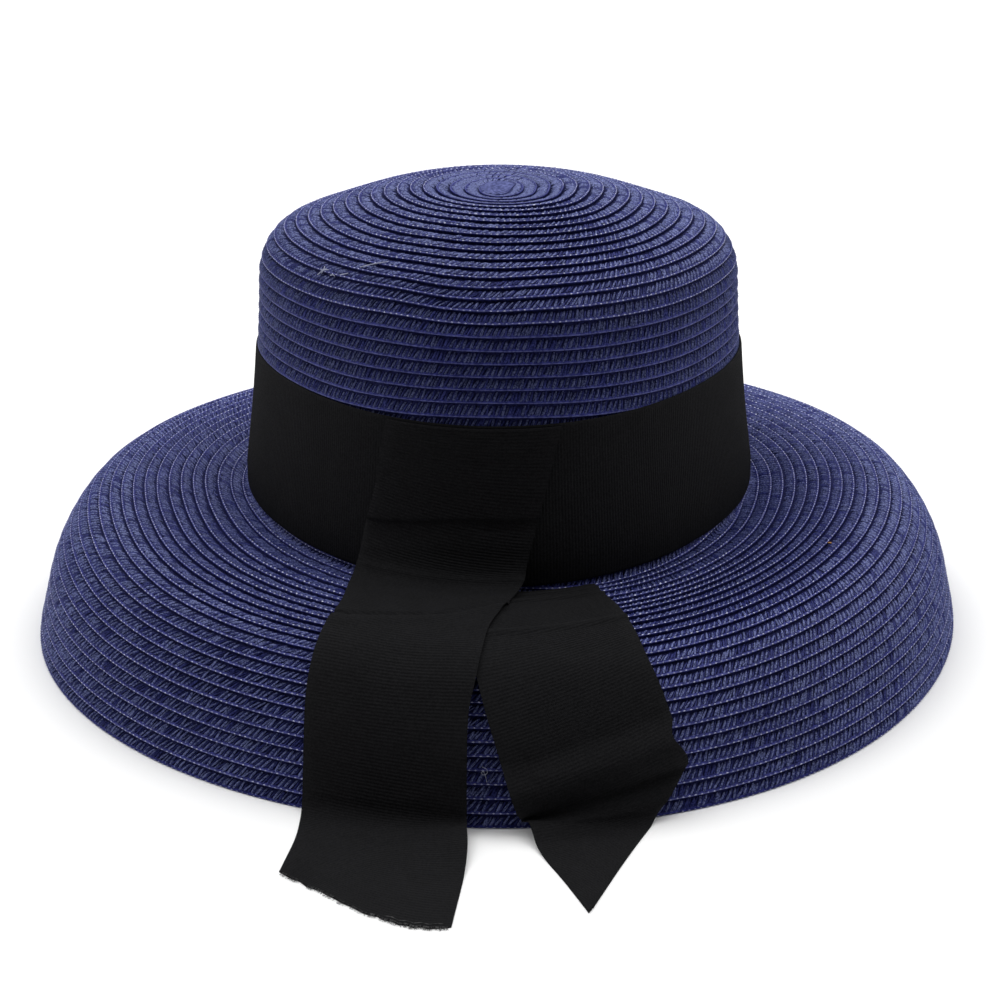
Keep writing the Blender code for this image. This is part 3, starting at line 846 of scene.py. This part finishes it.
def build_crown():
    rows = np.arange(int((CROWN.length - CROWN_FIRST) / CROWN_PITCH))
    outer = braid_rows(CROWN_BRAID, rows, True, ROW_PROFILE)
    points, faces, marks = join_parts([outer, inner_rows(CROWN_BRAID, rows, *CROWN_INSIDE)])
    item = add_mesh("crown_braid", points, faces, BRAID_MATERIALS, marks)
    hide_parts("crown")
    band_top = CROWN.along_at_height(BRIM_HEIGHT + BAND_FOOT + RIBBON_WIDTH)
    seen = rows[:int((band_top + UNDER_BAND - CROWN_FIRST) / CROWN_PITCH) + 1]
    top = len(seen) * 2 // 3
    add_straw("crown_strands_top", strands(CROWN_BRAID, seen[:top], CALM_ROWS), STRAW_STRAND, STRAW_DEEP_PAINTED_SHADE)
    side = strands(CROWN_BRAID, seen[top:], slant_by=WALL_SLANT, fall_by=WALL_FALL, outer_end=WALL_OUTER_END)
    # The wall's strands take a darker copy: painted shade on the crown's wall
    add_straw("crown_strands_side", side, STRAW_WALL_PAINTED_SHADE, STRAW_DEEP_PAINTED_SHADE)
    # Stitches on the wall take the thread's plain colour, without the painted glint
    sewn = stitches(CROWN_BRAID, seen[BARE_ROWS:], no_painted_glint_from=seen[top] + 1)
    add_straw("crown_stitches", sewn, STRAW_STITCH_PAINTED_GLINT, STRAW_THREAD)
    patch, thread = eye_patch()
    add_straw("crown_eye", patch, STRAW_PATCH)
    add_straw("crown_eye_thread", thread, STRAW_THREAD)


def build_brim():
    rows = np.arange(-BRIM_HIDDEN_ROWS, BRIM_LAST_ROW + 1)
    outer = braid_rows(BRIM_BRAID, rows[:-1], False, ROW_PROFILE)
    rim = braid_rows(BRIM_BRAID, rows[-1:], False, RIM_PROFILE)
    points, faces, marks = join_parts([outer, rim, inner_rows(BRIM_BRAID, rows, *BRIM_INSIDE)])
    item = add_mesh("brim_braid", points, faces, BRAID_MATERIALS, marks)
    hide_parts("brim")
    # The inner rows' strands take a darker copy: painted shade next to the crown
    lights = (STRAW_INNER_PAINTED_SHADE, STRAW_STRAND, STRAW_STRAND)
    for name, part, light in zip(("inner", "middle", "outer"), np.split(rows, BRIM_SPLITS), lights):
        add_straw("brim_strands_" + name, strands(BRIM_BRAID, part), light, STRAW_DEEP_PAINTED_SHADE)
    add_straw("brim_stitches", stitches(BRIM_BRAID, rows), STRAW_STITCH_PAINTED_GLINT)


def band_wall():
    """The crown's side line from the band's top edge, carried down to the band's foot."""
    top = BRIM_HEIGHT + BAND_FOOT + RIBBON_WIDTH
    start = CROWN.along_at_height(top)
    below = CROWN.along > start
    out = np.concatenate([[CROWN.at(start)[0]], CROWN.out[below], [HEAD_HALF_WIDTH]])
    height = np.concatenate([[top], CROWN.height[below], [BRIM_HEIGHT + BAND_FOOT]])
    return Section(out, height)


WALL = band_wall()


def rib(distance, depth):
    """A rounded rib for every RIB_PITCH along a distance."""
    return depth * np.abs(np.sin(math.pi * distance / RIB_PITCH)) ** RIB_FULLNESS


def on_wall(along, lift, turn):
    return place(*WALL.at(along, lift), turn)


def build_band():
    middle = on_wall(WALL.length / 2, 0.0, np.linspace(0.0, math.tau, 181))
    around = np.linalg.norm(np.diff(middle, axis=0), axis=1).sum()
    steps = round(around / RIB_PITCH) * RIB_STEPS
    turn = math.tau * np.arange(steps) / steps
    distance = np.arange(steps) * RIB_PITCH / RIB_STEPS
    ripple = sum(depth * np.sin(turn * count + start) for depth, count, start in BAND_RIPPLES)
    block = []
    for share in BAND_SHARES:
        edge = min(share, 1.0 - share)
        depth = BAND_RIB if edge > BAND_SELVEDGE else BAND_EDGE_RIB
        lift = BAND_LIFT + BAND_THICKNESS + rib(distance, depth) - (EDGE_FALL if edge == 0.0 else 0.0)
        lift = lift + np.maximum(0.0, ripple) * (1.0 - 2.0 * edge)
        block.append(on_wall(share * WALL.length, lift, turn))
    for share in (1.0, 0.5, 0.0):
        block.append(on_wall(share * WALL.length, BAND_LIFT, turn))
    faces = grid_faces(len(block), steps, wrap=True)
    first, last = np.arange(steps), (len(block) - 1) * steps + np.arange(steps)
    seam = np.stack([last, np.roll(last, -1), np.roll(first, -1), first], 1)
    item = add_mesh("band_ribbon", np.array(block), np.concatenate([faces, seam]), [RIBBON])
    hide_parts("hat_band")


def rounded(values, half):
    """A line's values averaged over half a window on each side, its ends carried on straight."""
    before = 2 * values[0] - values[half:0:-1]
    after = 2 * values[-1] - values[-2:-half - 2:-1]
    window = np.full(2 * half + 1, 1 / (2 * half + 1))
    return np.convolve(np.concatenate([before, values, after]), window, "valid")


def drape_line():
    """The line that a ribbon's under side lies on, and its short cut over the corner at the band's foot."""
    band_out, band_height = WALL.at(WALL.along, CLEARANCE + RIBBON_THICKNESS + CLEARANCE)
    over_brim = BRIM.along > BRIM_FOOT
    brim_out, brim_height = BRIM.at(BRIM.along[over_brim], TAIL_REST)
    clear = brim_out > band_out[-1] + TAIL_REST
    floor_out = brim_out[-1] + np.array([CLEARANCE, FLOOR_RUN])
    out = np.concatenate([band_out, [band_out[-1]], brim_out[clear], floor_out])
    height = np.concatenate([band_height, [brim_height[clear][0]], brim_height[clear], [0.0, 0.0]])
    rough = Section(out, height)
    out, height = rough.at(np.arange(0.0, rough.length, LINE_GAP))
    lines = []
    for run in (FOLD_RUN, BRIDGE_RUN):
        half = round(run / LINE_GAP / 2)
        lines.append((rounded(out, half), rounded(height, half)))
    return Section(*lines[0]), lines[1]


DRAPE, BRIDGE = drape_line()


def on_drape(run, side, lift, bridge=0.0):
    """Points over the line that the ribbons lie on; bridge is how far they take the short cut."""
    out, height = DRAPE.at(run, lift)
    line_out, line_height = DRAPE.at(run)
    out = out + bridge * (np.interp(run, DRAPE.along, BRIDGE[0]) - line_out)
    height = height + bridge * (np.interp(run, DRAPE.along, BRIDGE[1]) - line_height)
    turn = -np.arccos(np.clip(side / out, -1.0, 1.0))
    return place(out, height, turn)


def smooth_rows(table, run, steps):
    """A table's rows in metres, sampled on smooth curves through them: steps per row gap."""
    scale = np.array([run, RIBBON_WIDTH, RIBBON_THICKNESS] * 2)
    rows = np.array(table) * scale
    ends = np.vstack([2 * rows[0] - rows[1], rows, 2 * rows[-1] - rows[-2]])
    fine = []
    for index in range(1, len(ends) - 2):
        before, start, end, after = ends[index - 1:index + 3]
        share = (np.arange(steps) / steps)[:, None]
        slope_in, slope_out = (end - before) / 2, (after - start) / 2
        bend = 3 * (end - start) - 2 * slope_in - slope_out
        twist = slope_in + slope_out - 2 * (end - start)
        fine.append(start + slope_in * share + bend * share ** 2 + twist * share ** 3)
    fine.append(rows[-1:])
    return np.concatenate(fine)


def ribbon_rows(table, run):
    """A tail's rows, spaced by the mesh step of a rib down its middle, and how far along each lies."""
    fine = smooth_rows(table, run, TABLE_STEPS)
    middle = (fine[:, :3] + fine[:, 3:]) / 2
    length = run_along(on_drape(middle[:, 0], middle[:, 1], middle[:, 2]))
    count = int(length[-1] / RIB_PITCH * RIB_STEPS)
    wanted = np.linspace(0.0, length[-1], count + 1)
    return np.stack([np.interp(wanted, length, column) for column in fine.T], 1), wanted


def creased(relief, along, line, folds):
    """Relief with folds along a line added: height, distance from the line and half width of each."""
    for height, away, half in folds:
        relief = relief + height * fold(along, line + away, half)
    return relief


def edge_lift(along, nearness, ends):
    """The lift of a tail's inner edge between two places."""
    begun = step(along, ends[0], EDGE_LIFT_IN)
    return EDGE_LIFT * nearness ** 4 * begun * (1.0 - step(along, ends[1], EDGE_LIFT_OUT))


def left_relief(along, side, share):
    """The strip hugs the band, leaves it at a line, and is creased where it meets the brim."""
    leave = np.maximum(LEAVE_RUN - LEAVE_SLOPE * share, LEAVE_LEAST)
    relief = -HUG_DEPTH * (1.0 - step(along, leave + HUG_AWAY, HUG_FADE))
    relief = relief + LEAVE_STEP * (1.0 - step(along, leave, LEAVE_FADE))
    pocket_end = leave + np.interp(side, *POCKET_RUN)
    pocket = step(along, leave + POCKET_START, POCKET_IN) * (1.0 - step(along, pocket_end, POCKET_OUT))
    relief = relief - POCKET_DEPTH * pocket * fold(side, POCKET_MIDDLE, POCKET_HALF)
    relief = creased(relief, along, np.interp(side, *LEFT_CREASE), LEFT_FOLDS)
    for height, place_along, half, turns, start in LEFT_WAVES:
        relief = relief + height * fold(along, place_along, half) * np.sin(turns * share + start)
    return relief + edge_lift(along, share, LEFT_EDGE_LIFT)


def right_relief(along, side, share):
    """Three creases where the strip comes out of the corner, and the valley above the brim's edge."""
    relief = creased(0.0, along, 0.0, RIGHT_FOLDS)
    relief = creased(relief, along, -RIGHT_SLANT * np.maximum(side, 0.0), RIGHT_SLANTED_FOLDS)
    relief = creased(relief, along, np.interp(side, *VALLEY), VALLEY_FOLDS)
    return relief + edge_lift(along, 1.0 - share, RIGHT_EDGE_LIFT)


def right_hook(along, share):
    """The small notch and the pointed corner of the strip's right edge."""
    point = POINT_REACH * np.maximum(0.0, 1.0 - np.abs(along - POINT_PLACE) / POINT_HALF)
    return share ** 6 * (point - NOTCH_DEPTH * fold(along, NOTCH_PLACE, NOTCH_HALF))


def nudged(table, changes):
    """A table with a few of its numbers moved by a little."""
    rows = [list(row) for row in table]
    for row, column, move in changes:
        rows[row][column] += move
    return rows


def build_tail(name, node, table, run, relief, ragged, bow=0.0, bridge=0.0, hook=None):
    """A tail's ribbon and the points of its cut end."""
    rows, distance = ribbon_rows(table, run)
    share = np.linspace(0.0, 1.0, TAIL_COLUMNS)[None, :]
    left, right = rows[:, None, :3], rows[:, None, 3:]
    grid = left + (right - left) * share[..., None]
    along, side, lift = grid[..., 0], grid[..., 1], np.maximum(grid[..., 2], 0.0)
    if hook:
        side = side + hook(along, share)
    left_over = distance[-1] - distance
    to_end = np.clip(1.0 - left_over / (BOW_SHARE * distance[-1]), 0.0, 1.0)[:, None] ** 2
    along = along + bow * to_end * 4 * share * (1 - share) * (BOW_LEAST + BOW_SLOPE * share)
    fray = RNG.uniform(-1.0, 1.0, TAIL_COLUMNS) * ragged
    last = np.clip(1.0 - left_over / RAGGED_RUN, 0.0, 1.0)[:, None]
    along = along + fray[None, :] * last
    edge = np.minimum(share, 1.0 - share)
    depth = np.where(edge < TAIL_SELVEDGE, TAIL_EDGE_RIB, TAIL_RIB)
    under = np.maximum(lift + relief(along, side, share), TAIL_LOWEST)
    top = under + TAIL_THICKNESS + rib(distance, 1.0)[:, None] * depth
    top = top - np.where(edge == 0.0, EDGE_FALL, 0.0)
    bridge = bridge * (1.0 - step(along, BRIDGE_END, BRIDGE_FADE))
    over_points = on_drape(along, side, top, bridge)
    under_points = on_drape(along, side, under, bridge)
    count, width = over_points.shape[:2]
    base = count * width
    quads = grid_faces(count, width)
    faces = [quads, quads[:, ::-1] + base]
    index = np.arange(base).reshape(count, width)
    lower = index + base
    for line_top, line_low in (
        (index[:, 0], lower[:, 0]), (lower[:, -1], index[:, -1]),
        (lower[0], index[0]), (index[-1], lower[-1]),
    ):
        faces.append(np.stack([line_top[:-1], line_top[1:], line_low[1:], line_low[:-1]], 1))
    points = np.concatenate([over_points.reshape(-1, 3), under_points.reshape(-1, 3)])
    item = add_mesh(name, points, np.concatenate(faces), [RIBBON], sharp=50.0)
    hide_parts(node)
    return item, over_points[-1]


def build_fringe(line):
    """Short loose threads beyond a ribbon's cut end, and a hem line along its right part.

    line is the cut's points.
    """
    parts = []
    for spot in RNG.uniform(*FRINGE_SPREAD, FRINGE_COUNT) * (len(line) - 1):
        low = int(spot)
        start = mix(line[low], line[low + 1], spot - low)
        tangent = line[low + 1] - line[low]
        away = np.array([tangent[1], -tangent[0], 0.0]) / np.linalg.norm(tangent[:2])
        if away[1] > 0.0:
            away = -away
        lean = RNG.uniform(-FRINGE_LEAN, FRINGE_LEAN) * tangent / np.linalg.norm(tangent)
        length = RNG.uniform(*FRINGE_LENGTHS) * FRINGE_REACH
        shares = np.linspace(FRINGE_ROOT, 1.0, 5)[:, None]
        path = start + shares * length * (away + lean * np.maximum(shares, 0.0))
        path[:, 2] = np.maximum(path[:, 2] - FRINGE_FALL * np.maximum(shares[:, 0], 0.0), FRINGE_LOWEST)
        parts.append(tube(path, RNG.uniform(*FRINGE_RADII)))
    parts.append(tube(line[len(line) * 5 // 8:-1] + np.array(HEM_MOVE), HEM_RADIUS))
    item = add_mesh("tail_left_fringe", *join_parts(parts), [FRAY])
    return item


def add_marks(name, paths, on_straw, lift, samples, radius):
    """Thin threads along short paths on the straw."""
    parts = []
    for path in paths:
        along, turn = np.array(path).T
        corners = np.arange(len(path))
        fine = np.linspace(0, len(path) - 1, samples)
        turn = np.radians(np.interp(fine, corners, turn))
        parts.append(tube(on_straw(np.interp(fine, corners, along) / 1000.0, lift, turn), radius))
    add_mesh(name, *join_parts(parts), [LINT])


def build_details():
    add_marks("lint", [LINT_PATH], on_brim, lift=0.0006, samples=48, radius=0.00010)
    add_marks("pale_nicks", NICK_PATHS, on_crown, lift=0.0004, samples=6, radius=0.00018)
    along, turn = FLECK_SPOT[0] / 1000.0, math.radians(FLECK_SPOT[1])
    reach = np.linspace(-FLECK_HALF, FLECK_HALF, 4)
    ring, faces = tube(on_brim(along + reach, FLECK_LIFT, turn + reach * FLECK_SLANT), FLECK_RADIUS)
    add_mesh("amber_fleck", ring, faces, [FLECK])


def make_floor():
    material = bpy.data.materials.new("floor_white")
    material.use_nodes = True
    shader = material.node_tree.nodes["Principled BSDF"]
    shader.inputs["Base Color"].default_value = FLOOR_COLOUR
    shader.inputs["Roughness"].default_value = FLOOR_ROUGHNESS
    shader.inputs["Specular IOR Level"].default_value = FLOOR_SPECULAR
    data = bpy.data.meshes.new("floor")
    data.from_pydata(FLOOR_CORNERS, [], [(0, 1, 2, 3)])
    data.materials.append(material)
    item = bpy.data.objects.new("floor", data)
    bpy.context.scene.collection.objects.link(item)


def make_camera():
    """The photograph's camera, tilted by the little that the hat stands askew in it."""
    data = bpy.data.cameras.new("camera")
    data.sensor_width = SENSOR_WIDTH
    data.lens = FOCAL_PIXELS * SENSOR_WIDTH / PHOTO_WIDTH
    data.clip_start = CLIP_START
    item = bpy.data.objects.new("camera", data)
    bpy.context.scene.collection.objects.link(item)
    aim = Euler((math.radians(90.0 - CAMERA_DOWN), 0.0, 0.0)).to_matrix().to_4x4()
    askew = Euler((math.radians(ASKEW[0]), math.radians(ASKEW[1]), 0.0)).to_matrix().to_4x4()
    eye = Matrix.Translation(Vector(CAMERA_EYE))
    item.matrix_world = Matrix.Translation(Vector(-SHIFT)) @ askew @ eye @ aim
    bpy.context.scene.camera = item


def area_light(name, location, target, size, power):
    data = bpy.data.lights.new(name, "AREA")
    data.shape = "RECTANGLE"
    data.size, data.size_y = size
    data.energy = power
    item = bpy.data.objects.new(name, data)
    item.location = location
    item.rotation_euler = (Vector(target) - Vector(location)).to_track_quat("-Z", "Y").to_euler()
    bpy.context.scene.collection.objects.link(item)


def make_light():
    """A wide soft ceiling behind and a slanted one on each side; almost no light from the front."""
    world = bpy.data.worlds.new("studio")
    world.use_nodes = True
    background = world.node_tree.nodes["Background"]
    background.inputs["Color"].default_value = (1.0, 1.0, 1.0, 1.0)
    background.inputs["Strength"].default_value = WORLD_STRENGTH
    bpy.context.scene.world = world
    for light in LIGHTS:
        area_light(*light)
    bpy.context.scene.view_settings.view_transform = "Standard"
    bpy.context.scene.view_settings.look = "None"


make_camera()
make_light()
make_floor()
build_crown()
build_brim()
build_band()
left, left_cut = build_tail(
    "tail_left_ribbon", "tail_left", nudged(LEFT_TAIL_ROWS, LEFT_NUDGES), LEFT_TAIL_RUN,
    left_relief, LEFT_RAGGED, bow=LEFT_END_BOW, bridge=1.0,
)
right, _ = build_tail(
    "tail_right_ribbon", "tail_right", nudged(RIGHT_TAIL_ROWS, RIGHT_NUDGES), RIGHT_TAIL_RUN,
    right_relief, RIGHT_RAGGED, hook=right_hook,
)
left_fringe = build_fringe(left_cut)
build_details()
bpy.context.view_layer.update()
